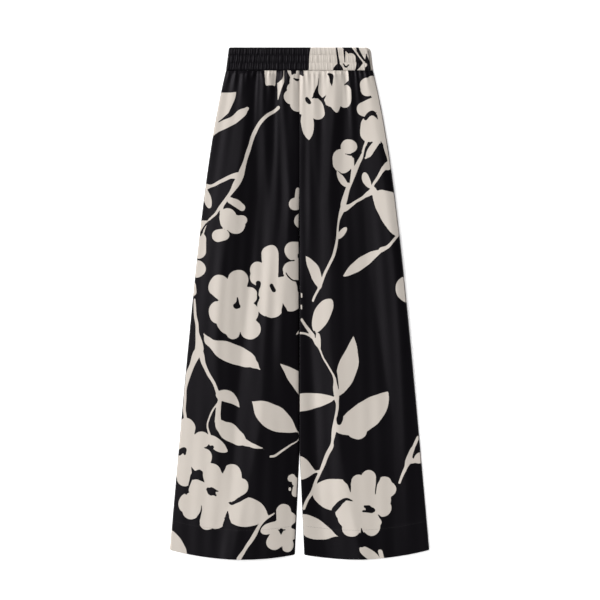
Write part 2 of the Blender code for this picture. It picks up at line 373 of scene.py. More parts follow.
def frontHeight(across, depth, leg):
    # Height of the front's outer side, in millimetres: all the relief, eased under the highest
    # that it may stand, tucked in at the band, and rolled down at the two seams
    seed = legs[leg]["seed"]
    width = halfWidth(depth) / mm
    below = (depth - cut["bandHeight"]) / mm
    relief = drape["scale"] * foldSurface(across, depth, foldLines[leg])
    relief += flares(across, depth, flareLines[leg]) + fineGathers(across, depth, seed)
    relief += faintRipple(across, depth, seed)
    relief = drape["room"] * np.tanh(np.maximum(relief, 0.0) / drape["room"])
    relief *= gathers["tucked"] + (1 - gathers["tucked"]) * smooth(below / gathers["tuckLength"])
    top = drape["low"] + relief
    top += drape["hemStep"] * smooth((depth - hemLine(across)) / (drape["hemStepRun"] * mm) + 0.5)
    top = blendTo(drape["seamTop"], top, roundedOff((1 - across) * width / drape["seamRound"]))
    closed = drape["seamTop"] if leg == "right" else top - drape["leftLower"]
    seamHeight = blendTo(top - drape["centreDitch"], closed, pastCrotch(depth, start=0.6, run=0.5))
    return blendTo(seamHeight, top, roundedOff(across * width / drape["centreRound"][leg]))


# Cream flowers, leaves and stems on black. All sizes are millimetres, across from the centre seam
# (plus is the wearer's left) and down from the waist edge. Each front has its own cut of the
# cloth. A stem has a place and a width at each of its points, and so have a few buds and the most
# curved leaves. A leaf has its base, its tip, half its width, how far it bows, and how quickly it
# swells at the base and thins at the tip (less is blunter). A flower has its centre, and the turn,
# length and half width of each petal, with 90 towards the waist. A dot is a short thick stroke
# from one place to another, with its radius. A gap is a stem in black.
seamFlower = ((16, 110), ((166, 48, 15.5), (200, 36, 14.5), (138, 52, 12), (118, 62, 16),
                          (95, 74, 17.5), (76, 76, 15), (-18, 30, 14), (-52, 30, 14)))
rightPrint = {
    "stems": [
        ((-43, 124, 7), (-76, 150, 8), (-96, 184, 8), (-108, 227, 7), (-121, 264, 13.5),
         (-129, 280, 14.5), (-144, 305, 7), (-168, 336, 5.5), (-185, 355, 4), (-197, 382, 3)),
        ((-127, 263, 12.5), (-146, 268, 7), (-177, 283, 6), (-191, 287, 12.5)),
        ((-190, 357, 4), (-199, 363, 12.5), (-206, 374, 12.5)),
        ((-140, 315, 13.5), (-129, 321, 16), (-119, 328, 14)),
        ((-150, 315, 7), (-158, 327, 7), (-160, 340, 7)),
        ((-215, 518, 3.5), (-214, 543, 5), (-209, 580, 7), (-204, 617, 16.5), (-210, 629, 15.5),
         (-224, 662, 10.5), (-233, 703, 5.5), (-236, 740, 5.5), (-234, 761, 6.5)),
        ((-201, 627, 10.5), (-190, 662, 7.5), (-171, 696, 6), (-163, 724, 7.5)),
        ((-167, 728, 3), (-177, 742, 3), (-187, 765, 3), (-188, 777, 3), (-182, 798, 4)),
        ((-164, 726, 8), (-167, 746, 10.5), (-167, 767, 13.5)),
        ((-2, 789, 2.5), (-1, 798, 2.5), (-5, 806, 2.5), (-27, 821, 4), (-49, 837, 5), (-60, 840, 4.5)),
        ((-52, 955, 3), (-68, 965, 5), (-82, 981, 6), (-92, 999, 7.5), (-110, 1025, 6.5),
         (-124, 1048, 9)),
        ((-103, 124, 1), (-108, 128, 9), (-118, 136, 19), (-128, 143, 22), (-142, 153, 20),
         (-162, 161, 22), (-190, 174, 26)),
        ((-59, 30, 22), (-59, 74, 22)),
        ((-22, 46, 8), (-16, 66, 3.5)),
        ((-10, 58, 3.5), (2, 54, 12.5)),
        ((0, 582, 5.5), (-6, 588, 3)),
        ((-195, 588, 2), (-183, 606, 16), (-148, 624, 41), (-112, 638, 34), (-96, 648, 18),
         (-82, 662, 2)),
        ((-168, 768, 12), (-158, 779, 26), (-144, 789, 36), (-127, 800, 29), (-112, 810, 15),
         (-96, 817, 9), (-74, 824, 2)),
    ],
    "leaves": [
        ((-150, 60), (-170, 158), 27, 0, 0.3, 0.75),
        ((-33, 36), (-44, 111), 8, 0, 0.15, 0.95),
        ((-189, 293), (-184, 327), 7, 0.05, 0.6, 0.4),
        ((-166, 714), (-122, 739), 11.5, -0.16, 0.4, 1.0),
        ((-183, 797), (-147, 828), 12, 0.08, 0.7, 0.9),
        ((-2, 790), (-98, 726), 25, -0.02, 1.4, 1.25),
        ((31, 724), (-40, 648), 19, 0.03, 0.5, 1.15),
        ((-150, 957), (-62, 961), 31, -0.07, 1.25, 1.6),
        ((-38, 980), (-77, 992), 12, 0, 0.3, 0.45),
    ],
    "flowers": [
        ((-131, 529), ((84, 72, 20), (130, 73.5, 22.5), (37, 50.5, 19.5), (-28, 51, 20.5),
         (-59, 79, 21.5), (-94, 69, 15.5), (-112, 61.5, 23.5), (206, 57.5, 24.5))),
        ((-57, 498), ((93, 92.5, 18.5), (125, 66.5, 16.5), (137, 56, 16.5), (-101, 55, 23.5),
         (-87, 57.5, 22.5), (4, 53.5, 26.5), (-28, 67.5, 23.5))),
        ((-236, 828), ((84, 67.5, 18.5), (33, 60.5, 17.5), (-19, 60, 18.5), (-42, 56.5, 15),
         (-89, 73, 16), (-120, 59.5, 17.5), (180, 33, 31))),
        ((-178, 913), ((92, 59.5, 18.5), (43, 75, 20.5), (13, 74, 19.5), (164, 50.5, 17), (204, 74.5, 20),
         (222, 75, 16.5), (-100, 78, 19), (-83, 75.5, 18.5))),
        ((-38, 986), ((81, 49, 15), (50, 40, 14.5), (-116, 46.5, 16.5), (-71, 50.5, 13.5),
         (-34, 35.5, 12.5))),
        seamFlower,
    ],
    "dots": [
        (-146, 349, -145, 356, 18), (-131, 363, -130, 364, 19.5), (-120, 355, -118, 355, 11),
        (-165, 387, -157, 385, 13), (-205, 395, -205, 420, 14), (-208, 454, -209, 455, 16.5),
        (-220, 488, -220, 502, 9.5), (-138, 525, -127, 533, 24.5), (-62, 500, -55, 502, 24.5),
        (-12, 418, -2, 418, 18.5), (-16, 458, -2, 458, 20), (-10, 322, -8, 322, 12.5),
        (-4, 292, -6, 314, 4.5), (4, 356, 6, 356, 16), (-18, 883, -15, 882, 7), (-9, 887, -9, 892, 6.5),
        (-20, 905, -20, 907, 3), (-6, 904, -8, 916, 7.5), (-177, 927, -160, 929, 18.5),
        (-43, 984, -31, 982, 14.5), (-156, 940, -155, 957, 6.5), (-141, 921, -129, 917, 9),
        (-303, 1051, -303, 1052, 73.5),
    ],
    "gaps": [
        ((-184, 356, 2), (-195, 371, 3.5), (-204, 385, 4.5)), ((-177, 516, 5.5), (-168, 516, 1.5)),
        ((-145, 471, 2), (-147, 455, 8)), ((-121, 582, 1), (-120, 601, 11)),
        ((-84, 483, 11), (-86, 502, 4), (-87, 525, 1)),
        ((-127, 513, 3), (-127, 522, 6), (-129, 531, 13.5)), ((-133, 530, 8), (-125, 532, 9)),
        ((-70, 559, 10.5), (-70, 551, 2)), ((-34, 524, 1), (-30, 543, 12.5), (-25, 564, 24.5)),
        ((-57, 488, 7.5), (-52, 498, 8)), ((-38, 436, 2), (-38, 453, 3.5), (-39, 464, 9)),
        ((-44, 466, 3), (-34, 467, 3)), ((-29, 463, 2.5), (-22, 472, 3), (-13, 479, 3), (0, 480, 3.5)),
        ((-1, 486, 6), (-1, 496, 6)), ((-23, 436, 2), (-12, 436, 3)), ((-3, 424, 3.5), (-3, 430, 3.5)),
        ((-193, 823, 2), (-186, 823, 3.5), (-178, 820, 8)),
        ((-246, 832, 12.5), (-236, 826, 10.5), (-234, 834, 6)),
        ((-205, 874, 16.5), (-218, 876, 8), (-223, 890, 5.5), (-227, 904, 3.5), (-232, 915, 6)),
        ((-200, 938, 1.5), (-202, 952, 3.5), (-208, 968, 8), (-216, 986, 20.5)),
        ((-148, 951, 2), (-148, 962, 7.5), (-148, 984, 18.5)),
        ((-146, 933, 2), (-138, 936, 6), (-125, 930, 6.5), (-115, 924, 5.5), (-103, 918, 5.5)),
        ((-140, 936, 4), (-131, 933, 5), (-125, 927, 5), (-119, 923, 5)),
        ((-158, 874, 1.5), (-157, 859, 12.5)), ((-188, 907, 7), (-180, 912, 15.5)),
        ((-181, 908, 10.5), (-166, 911, 3)), ((-179, 913, 10.5), (-172, 920, 4)),
        ((-37, 1023, 1.5), (-37, 1046, 10.5)), ((-44, 990, 3), (-29, 990, 3)),
        ((-37, 991, 9), (-37, 999, 2)), ((-190, 70, 48), (-150, 70, 48), (-116, 68, 48)),
        ((-125, 121, 11), (-140, 136, 10), (-166, 153, 2)), ((-77, 89, 15), (-55, 86, 15)),
        ((-12, 64, 3), (-6, 67, 6), (-1, 66, 4)),
        ((-40, 44, 13), (-40, 59, 12), (-43, 67, 8), (-46, 73, 3)),
        ((-29, 46, 7), (-29, 74, 6), (-34, 92, 6.5)),
    ],
}
leftPrint = {
    "stems": [
        ((137, 193, 6), (127, 220, 6.5), (113, 254, 9), (99, 288, 8), (89, 319, 10.5), (87, 332, 9.5),
         (80, 356, 4), (76, 385, 4), (72, 414, 6), (60, 447, 6), (46, 477, 5.5), (33, 508, 4.5),
         (28, 521, 4)),
        ((108, 229, 5.5), (109, 251, 5.5), (107, 270, 6)),
        ((90, 332, 13), (105, 324, 7), (117, 316, 5.5), (129, 309, 6), (142, 300, 10.5),
         (150, 295, 14.5)),
        ((147, 294, 7), (149, 284, 5.5), (156, 272, 6), (165, 257, 7), (173, 247, 10), (182, 243, 17)),
        ((202, 381, 4), (190, 398, 5.5), (179, 409, 7), (166, 415, 10.5)),
        ((158, 191, 13), (148, 207, 14.5), (142, 218, 13), (133, 228, 3.5)),
        ((4, 558, 5), (12, 570, 5.5), (21, 582, 6.5), (27, 594, 8), (33, 605, 8), (40, 618, 3.5),
         (51, 642, 3.5), (64, 664, 3.5), (70, 679, 4.5), (74, 707, 7), (76, 718, 10.5), (78, 732, 5.5),
         (75, 757, 5), (72, 783, 10.5), (66, 808, 5), (63, 822, 8), (43, 867, 6), (31, 896, 6),
         (27, 908, 7.5), (17, 927, 6), (9, 945, 6)),
        ((1, 586, 5), (10, 587, 4.5), (18, 590, 4.5), (26, 596, 5.5)),
        ((243, 798, 5.5), (235, 816, 6.5), (228, 830, 10.5), (222, 849, 12.5), (216, 865, 7),
         (205, 892, 4.5)),
        ((224, 852, 8), (234, 848, 10.5), (248, 842, 20.5)),
        ((77, 718, 9), (68, 719, 5), (55, 720, 10.5)),
        ((43, 868, 4.5), (27, 871, 5)),
        ((168, 140, 24.5), (172, 190, 12), (181, 232, 5)),
    ],
    "leaves": [
        ((14, 120), (19, 190), 12.5, 0, 0.9, 0.95),
        ((68, 92), (76, 133), 14, 0, 0.3, 0.8),
        ((143, 288), (131, 258), 7.5, -0.06, 0.55, 0.45),
        ((155, 299), (200, 384), 16, 0, 0.4, 0.4),
        ((175, 411), (88, 471), 12.5, 0.02, 1.2, 0.95),
        ((77, 392), (96, 369), 6, 0, 0.5, 0.55),
        ((41, 495), (13, 428), 10.5, 0.05, 0.75, 0.95),
        ((76, 255), (97, 284), 6.5, 0.04, 0.6, 0.45),
        ((32, 588), (64, 517), 16.5, -0.05, 1.0, 0.8),
        ((36, 588), (41, 619), 5, 0.02, 0.35, 0.6),
        ((72, 716), (109, 590), 20, 0.066, 0.75, 1.1),
        ((72, 719), (-23, 732), 19, 0, 0.75, 0.3),
        ((74, 785), (181, 705), 29, 0.09, 0.9, 1.05),
        ((35, 871), (-23, 859), 24.5, 0, 1.3, 0.5),
        ((117, 923), (26, 911), 33.5, 0, 0.8, 1.05),
        ((80, 1004), (-10, 964), 21, -0.05, 1.4, 0.85),
        ((126, 1026), (162, 1056), 10, 0, 0.35, 0.4),
    ],
    "flowers": [
        seamFlower,
        ((140, 946), ((110, 74, 16.5), (100, 65.5, 20), (89, 79.5, 16), (57, 76, 15.5), (43, 74, 15.5),
         (32, 51.5, 18.5), (3, 47, 19), (-62, 44, 16.5), (-79, 55.5, 18.5), (-115, 53.5, 16.5),
         (-131, 71, 19), (204, 66.5, 17), (187, 68, 18.5))),
    ],
    "dots": [
        (4, 110, 6, 122, 16), (36, 118, 37, 136, 13.5), (52, 50, 50, 92, 12.5), (70, 44, 68, 100, 17),
        (84, 40, 86, 66, 13.5), (92, 90, 92, 110, 14), (62, 88, 64, 108, 13.5), (136, 78, 137, 86, 14),
        (150, 74, 162, 104, 14.5), (133, 127, 150, 119, 16.5), (142, 160, 142, 176, 18),
        (158, 152, 168, 182, 16.5), (167, 307, 183, 310, 13.5), (179, 319, 192, 356, 17),
        (98, 203, 103, 203, 13.5), (87, 229, 88, 238, 21), (220, 496, 222, 498, 25.5),
        (164, 1034, 168, 1048, 4.5), (113, 783, 120, 785, 18), (124, 935, 124, 938, 3.5),
        (4, 505, 4, 512, 1.6), (3, 530, 3, 537, 1.4),
    ],
    "gaps": [
        ((38, 64, 1), (38, 84, 2.5), (36, 94, 8), (35, 98, 13)),
        ((27, 103, 3), (36, 99, 9), (44, 105, 7), (50, 113, 6), (53, 125, 4)),
        ((49, 105, 5), (54, 98, 1.5)), ((15, 105, 7.5), (17, 109, 9.5), (20, 113, 8)),
        ((59, 55, 5), (65, 59, 10), (65, 70, 7), (65, 80, 1.5)), ((92, 77, 2.5), (101, 71, 7)),
        ((134, 147, 8), (141, 138, 9), (148, 136, 10), (155, 141, 6), (160, 149, 1)),
        ((148, 195, 3), (138, 206, 6.5), (132, 218, 4.5), (128, 230, 2.5)),
        ((164, 193, 1), (166, 201, 6)), ((94, 218, 2), (109, 220, 5), (121, 215, 10.5)),
        ((76, 254, 1.5), (86, 261, 2.5), (96, 264, 7), (103, 256, 4)), ((101, 260, 8), (101, 276, 3.5)),
        ((31, 583, 2), (31, 596, 2)), ((72, 660, 5), (76, 682, 4), (79, 702, 1.5)),
        ((86, 745, 8), (82, 762, 12), (81, 771, 9)), ((104, 914, 1.5), (101, 898, 6), (96, 880, 18.5)),
        ((155, 916, 2), (156, 900, 3), (161, 882, 8), (164, 863, 12.5)),
        ((70, 948, 10.5), (80, 939, 10.5), (88, 932, 8), (96, 927, 5.5), (110, 932, 1.5)),
        ((161, 959, 2), (167, 966, 5.5), (177, 972, 14.5)),
        ((126, 987, 2), (127, 999, 6), (127, 1015, 18.5)), ((133, 941, 6), (142, 942, 8)),
        ((140, 945, 12), (151, 949, 9.5)), ((129, 951, 5), (148, 952, 7)),
        ((233, 843, 2.5), (238, 828, 7.5), (244, 814, 6)), ((2, 48, 12.5), (8, 58, 4)),
    ],
}
legPrint = {"right": rightPrint, "left": leftPrint}
# The band's cloth was cut elsewhere. 1 paints a stroke cream and -1 paints it dark, in turn.
bandPrint = [
    (1, (55, -8, 55), (51, 16, 61), (48, 59, 59)),
    (1, (109, -15, 74), (109, 59, 74)),
    (-1, (75, -7, 3), (78, 17, 4), (80, 32, 5), (79, 50, 22)),
    (-1, (95, -7, 21), (107, 8, 17), (119, 22, 14), (123, 34, 13), (116, 48, 6)),
    (1, (105, 22, 20), (105, 38, 21)),
    (-1, (92, 6, 4.5), (93, 30, 1.5)),
    (-1, (90, 34, 2.5), (95, 40, 4), (101, 36, 2.5)),
    (1, (105, -5, 3.5), (131, 30, 3.5), (141, 46, 3)),
    (-1, (116, -5, 5), (123, 12, 6), (133, 27, 4)),
    (-1, (137, 14, 2), (139, 32, 10), (142, 52, 15)),
    (1, (119, 48, 3), (134, 36, 9)),
]
printing = {
    "reach": 6,              # how far past a stroke its field is worked out, in millimetres
    "plain": -50.0,          # the field where nothing is printed
    "wobble": 0.9,           # of the edges, in millimetres, slow and quick
    "tremble": 0.3,
    "petalFoot": 0.35,       # a petal's width at the centre, as a share of its widest
    "petalSwell": 0.6,
    "backTurn": 1180,        # the back's print is upside down: this depth less its own
    "backShadeColumns": 5,          # columns along the back's inseam painted black as shade, so the groove between the fronts shows dark
    "backShadeField": -5.0,       # the field there: painted shade, set over the print
    "carried": 0.5,          # share of the folds' extra cloth that carries the print along
}


def stroke(field, s, t, points, radii, dark=False):
    # field = max(field, radius - distance) over each run of a curve, or the same cut out
    points = np.asarray(points, float)
    radii = np.asarray(radii, float)
    reach = radii.max() + printing["reach"]
    near = (s > points[:, 0].min() - reach) & (s < points[:, 0].max() + reach)
    near &= (t > points[:, 1].min() - reach) & (t < points[:, 1].max() + reach)
    if not near.any():
        return
    across, down = s[near], t[near]
    best = np.full(across.shape, -np.inf)
    for start, end, first, last in zip(points[:-1], points[1:], radii[:-1], radii[1:]):
        run = end - start
        along = ((across - start[0]) * run[0] + (down - start[1]) * run[1]) / max(run @ run, 1e-9)
        along = np.clip(along, 0, 1)
        away = np.hypot(across - start[0] - along * run[0], down - start[1] - along * run[1])
        best = np.maximum(best, first + (last - first) * along - away)
    field[near] = np.minimum(field[near], -best) if dark else np.maximum(field[near], best)


def smoothRoute(rows, steps=7):
    # A Catmull-Rom curve through the places of the rows, and their widths eased along it
    rows = np.asarray(rows, float)
    points, values = rows[:, :2], rows[:, 2]
    padded = np.vstack([2 * points[0] - points[1], points, 2 * points[-1] - points[-2]])
    made, widths = [], []
    for number in range(len(points) - 1):
        a, b, c, d = padded[number:number + 4]
        share = np.linspace(0, 1, steps, endpoint=number == len(points) - 2)[:, None]
        made.append(0.5 * (2 * b + (c - a) * share + (2 * a - 5 * b + 4 * c - d) * share ** 2
                           + (3 * b - a - 3 * c + d) * share ** 3))
        widths.append(blendTo(values[number], values[number + 1], smooth(share[:, 0])))
    return np.vstack(made), np.concatenate(widths)


def stemStroke(field, s, t, rows, dark=False):
    # A stroke along a smooth route
    route, widths = smoothRoute(rows)
    stroke(field, s, t, route, widths / 2, dark)


def leafStroke(field, s, t, base, tip, half, bow, swelling, thinning):
    # The midrib bows sideways, and the width is share^swelling * (1 - share)^thinning
    base, tip = np.asarray(base, float), np.asarray(tip, float)
    share = np.linspace(0.0, 1.0, 21)
    run = tip - base
    aside = np.array([-run[1], run[0]])
    route = base + run * share[:, None] + aside * (bow * 4 * share * (1 - share))[:, None]
    swell = share ** swelling * (1 - share) ** thinning
    stroke(field, s, t, route, half * swell / swell.max())


def flowerStroke(field, s, t, centre, petals):
    # Each petal is a stroke from the centre that swells outwards, as share^petalSwell, to a round
    # end
    centre = np.asarray(centre, float)
    foot = printing["petalFoot"]
    share = np.linspace(0.0, 1.0, 9)
    swell = foot + (1 - foot) * share ** printing["petalSwell"]
    for turn, length, half in petals:
        out = np.array([math.cos(math.radians(turn)), -math.sin(math.radians(turn))])
        route = centre + out * (length - half) * share[:, None]
        stroke(field, s, t, route, half * swell)


def handDrawn(s, t):
    # A slow wobble, so that no edge is a true arc
    slow, quick = printing["wobble"], printing["tremble"]
    aside = slow * np.sin(s / 11 + 2.1 * np.sin(t / 23)) + quick * np.sin(t / 5.5 + s / 9)
    downward = slow * np.sin(t / 12 + 1.7 * np.sin(s / 19) + 1) + quick * np.sin(s / 5.0 - t / 8)
    return s + aside, t + downward


def printField(s, t, motifs):
    # How far a point lies inside the cream, in millimetres, and below zero in the black
    field = np.full(s.shape, printing["plain"])
    s, t = handDrawn(s, t)
    for rows in motifs["stems"]:
        stemStroke(field, s, t, rows)
    for row in motifs["leaves"]:
        leafStroke(field, s, t, *row)
    for centre, petals in motifs["flowers"]:
        flowerStroke(field, s, t, centre, petals)
    for startS, startT, endS, endT, radius in motifs["dots"]:
        stroke(field, s, t, ((startS, startT), (endS, endT)), (radius, radius))
    for rows in motifs["gaps"]:
        stemStroke(field, s, t, rows, dark=True)
    return field


def bandField(s, t):
    # The same for the band, whose strokes are painted cream or dark in turn
    field = np.full(s.shape, printing["plain"])
    for paint, *rows in bandPrint:
        stemStroke(field, s, t, rows, dark=paint < 0)
    return field


def extraCloth(x, z):
    # How much more cloth the relief takes up than its plan shows, less its even share
    run = np.abs(np.diff(x, axis=1))
    rise = np.diff(z, axis=1)
    extra = np.cumsum(np.hypot(run, rise) - run, axis=1)
    extra = np.hstack([np.zeros((len(x), 1)), extra])
    span = np.abs(x - x[:, :1])
    return extra - extra[:, -1:] * span / np.maximum(span[:, -1:], 1e-9)


class Socket:
    # Wraps an output, so that a sum or product of masks adds its own Math node
    def __init__(self, tree, output):
        self.tree, self.output = tree, output

    def maths(self, operation, other):
        return self.tree.add("ShaderNodeMath", {"operation": operation}, {0: self, 1: other})

    def __add__(self, other):
        return self.maths("ADD", other)

    def __mul__(self, other):
        return self.maths("MULTIPLY", other)

    __radd__ = __add__
    __rmul__ = __mul__

    def clamped(self):
        return self.tree.add("ShaderNodeClamp", {}, {"Value": self})


class Finish:
    # One material's nodes. add() takes a node's type, its settings, and its sockets' values
    def __init__(self, name):
        self.material = bpy.data.materials.new(name)
        self.material.use_nodes = True
        self.nodes = self.material.node_tree.nodes
        self.links = self.material.node_tree.links
        self.shader = self.nodes["Principled BSDF"]

    def add(self, kind, settings, sockets, output=0):
        node = self.nodes.new(kind)
        for name, value in settings.items():
            setattr(node, name, value)
        for key, value in sockets.items():
            self.put(node.inputs[key], value)
        return Socket(self, node.outputs[output])

    def put(self, socket, value):
        if isinstance(value, Socket):
            self.links.new(value.output, socket)
        else:
            socket.default_value = value

    def noise(self, place, scale, detail):
        sockets = {"Vector": place, "Scale": scale, "Detail": detail}
        return self.add("ShaderNodeTexNoise", {}, sockets, output="Fac")

    def mixed(self, factor, a, b):
        node = self.nodes.new("ShaderNodeMix")
        node.data_type = "RGBA"
        self.put(node.inputs["Factor"], factor)
        self.put(node.inputs["A"], a)
        self.put(node.inputs["B"], b)
        return Socket(self, next(o for o in node.outputs if o.type == "RGBA"))

    def shade(self, **values):
        for name, value in values.items():
            self.put(self.shader.inputs[name.replace("_", " ")], value)
        return self.material


satinLook = {
    "cream": (0.590, 0.541, 0.490, 1.0),
    "creamDeep": (0.565, 0.512, 0.457, 1.0),
    "black": (0.0034, 0.0029, 0.0038, 1.0),
    "blackWorn": (0.0046, 0.0041, 0.0052, 1.0),
    "edge": 0.25,            # millimetres over which cream turns to black
    "clouds": 14.0,          # scale of the faint clouding
    "roughness": 0.29,
    "uneven": 0.04,          # how much the clouds and the threads each roughen it
    "specular": 0.10,
    "tint": (1.0, 0.94, 1.03, 1.0),
    "weave": 0.00035,        # pitch of the weft
    "along": 60.0,           # and how quickly it changes along a thread
    "threads": 0.6,
    "bump": 0.08,
    "bumpDepth": 0.0001,
}


def satinMaterial(name, look):
    # Cream and black by the print's distance, each faintly clouded, over the fine lines of a satin
    finish = Finish(name)
    place = finish.add("ShaderNodeTexCoord", {}, {}, output="Object")
    ink = finish.add("ShaderNodeAttribute", {"attribute_name": "print"}, {}, output="Fac")
    cream = (ink * (1 / look["edge"]) + 0.5).clamped()
    cloud = finish.noise(place, look["clouds"], 3.0)
    stretch = (1 / look["weave"], look["along"], look["along"])
    fibre = finish.add("ShaderNodeMapping", {}, {"Vector": place, "Scale": stretch})
    threads = finish.noise(fibre, look["threads"], 2.0)
    light = finish.mixed(cloud, look["cream"], look["creamDeep"])
    dark = finish.mixed(cloud, look["black"], look["blackWorn"])
    colour = finish.mixed(cream, dark, light)
    relief = {"Strength": look["bump"], "Distance": look["bumpDepth"], "Height": threads}
    bump = finish.add("ShaderNodeBump", {}, relief, output="Normal")
    roughness = look["roughness"] + look["uneven"] * cloud + look["uneven"] * threads
    return finish.shade(Base_Color=colour, Roughness=roughness, Normal=bump,
                        Specular_IOR_Level=look["specular"], Specular_Tint=look["tint"])


threadLook = {
    "colour": (0.010, 0.0095, 0.010, 1.0),
    "worn": 2.2,             # how many times lighter the bands of the twist are
    "roughness": 0.85,
    "twist": 900.0,
}


def threadMaterial(name, look):
    # A dark twisted thread: diagonal bands lighten it a little
    finish = Finish(name)
    place = finish.add("ShaderNodeTexCoord", {}, {}, output="Object")
    twist = finish.add("ShaderNodeTexWave", {"bands_direction": "DIAGONAL"},
                       {"Vector": place, "Scale": look["twist"]}, output="Fac")
    worn = tuple(look["worn"] * part for part in look["colour"][:3]) + (1.0,)
    colour = finish.mixed(twist, look["colour"], worn)
    return finish.shade(Base_Color=colour, Roughness=look["roughness"])


satin = satinMaterial("printed_satin", satinLook)
thread = threadMaterial("dark_thread", threadLook)


# The grid of a leg's front
frontMesh = {
    "columns": 221, "rows": 389,
    "crowd": 0.55,           # how closely the columns crowd at both sides
    "crowdRows": 1.12,       # and the rows at the band
    "hemRound": 0.6,         # millimetres
    "hemRoundRows": 6, "hemRows": 22,
    "standing": 4,           # columns of the left front's inner edge
    "standingLean": 0.08,    # millimetres
    "standingFade": 6,       # rows above the hem over which the edge gets lower
}


def panelShell(name, side, outer, ink, flipped=False):
    # The inner side of a panel lies the silk's thickness behind the outer one
    if side < 0:
        outer, ink = outer[:, ::-1], ink[:, ::-1]
    behind = normalsOf(outer) * (cut["silk"] if flipped else -cut["silk"])
    return closedGrid(name, outer, outer + behind, ink, flipped)


def frontPanel(leg):
    # Outer side over the whole front, round the fold of the hem, and back up inside for its turn
    side, groove = legs[leg]["side"], cut["groove"][leg]
    across = bothEnds(frontMesh["columns"], frontMesh["crowd"])[None, :]
    down = (np.linspace(0, 1, frontMesh["rows"]) ** frontMesh["crowdRows"])[:, None]
    x, depth = legPlan(across, down, cut["seamRoll"], groove)
    z = frontHeight(across, depth, leg) * mm

    radius = frontMesh["hemRound"] * mm
    turn = np.linspace(0, math.pi, frontMesh["hemRoundRows"] + 2)[1:-1, None]
    roundDepth = depth[-1:] + radius * np.sin(turn)
    roundZ = z[-1:] - radius * (1 - np.cos(turn))
    roundX = np.broadcast_to(x[-1:], roundZ.shape)
    inward = np.linspace(0, 1, frontMesh["hemRows"])[:, None]
    flapDown = 1 - inward * cut["hemTurn"] / (cut["length"] - cut["legTop"])
    flapX, flapDepth = legPlan(across, flapDown, cut["seamRoll"], groove)
    flapZ = frontHeight(across, flapDepth, leg) * mm - 2 * radius

    allX = np.vstack([x, roundX, flapX])
    allDepth = np.vstack([depth, roundDepth, flapDepth])
    allZ = np.vstack([z, roundZ, flapZ])
    cloth = allX + printing["carried"] * extraCloth(allX, allZ)
    t = np.vstack([depth, roundDepth, 2 * depth[-1:] - flapDepth]) / mm
    if leg == "left":
        # Its inner edge goes straight down to the inseam, ever less so at the hem
        rise = np.linspace(0, 1, frontMesh["standing"], endpoint=False)[None, :]
        aboveHem = len(x) - 1 - np.arange(len(allX))
        deep = np.clip(aboveHem / frontMesh["standingFade"], 0, 1)[:, None]
        foot = blendTo(allZ[:, :1], np.minimum(drape["seamTop"] * mm, allZ[:, :1]), deep)
        allX = np.hstack([allX[:, :1] - (1 - rise) * frontMesh["standingLean"] * mm, allX])
        allZ = np.hstack([blendTo(foot, allZ[:, :1], rise), allZ])
        others = (allDepth, cloth, t)
        allDepth, cloth, t = [np.hstack([grid[:, :1] + 0 * rise, grid]) for grid in others]
    outer = np.stack([side * allX, cut["waistY"] - allDepth, allZ], axis=2)

    ink = printField(side * cloth / mm, t, legPrint[leg])
    return panelShell("front_panel_" + leg, side, outer, ink)


# The grid of a leg's back, and how that lies
backMesh = {
    "columns": 121, "rows": 241, "crowd": 0.45, "crowdRows": 1.2,
    "curl": 0.6,             # radius of the curled edge, in millimetres
    "curlColumns": 8,
    "curlEnd": 55,           # degrees past level at which the curl ends
}
backDrape = {
    "gathers": 11, "gatherHeight": 0.9, "gatherWidth": 2.5, "gatherSpread": 7,     # millimetres
    "folds": 4, "foldHeight": 0.6,
    "highest": 0.9,
    "held": 6,               # the back lies flat this close to its seams
}


def backHeight(across, depth, leg):
    # How far the back lifts off the surface, in millimetres: low gathers and a few slack folds
    random = np.random.default_rng(legs[leg]["backSeed"])
    below = (depth - cut["bandHeight"]) / mm
    width = halfWidth(depth) / mm
    relief = np.zeros_like(depth)
    for number in range(backDrape["gathers"]):
        place = (number + 0.5 + random.uniform(-0.3, 0.3)) / backDrape["gathers"]
        along = below / random.uniform(50, 150)
        bell = backDrape["gatherWidth"] + backDrape["gatherSpread"] * along
        away = (across - place) * width / bell
        relief += backDrape["gatherHeight"] * np.exp(-along ** 2) * np.exp(-away ** 2)
    for number in range(backDrape["folds"]):
        place, lean = random.uniform(0.12, 0.88), random.uniform(-0.12, 0.12)
        bell = random.uniform(9, 18)
        start, end = random.uniform(0.1, 0.4), random.uniform(0.6, 1.0)
        share = (depth - start) / (end - start)
        fade = smooth(share / 0.3) * smooth((1 - share) / 0.3)
        away = (across - place - lean * share) * width / bell
        relief += backDrape["foldHeight"] * fade * np.exp(-away ** 2)
    width = width / backDrape["held"]
    held = smooth((1 - across) * width) * smooth(across * width)
    return backDrape["highest"] * np.tanh(relief / backDrape["highest"]) * held


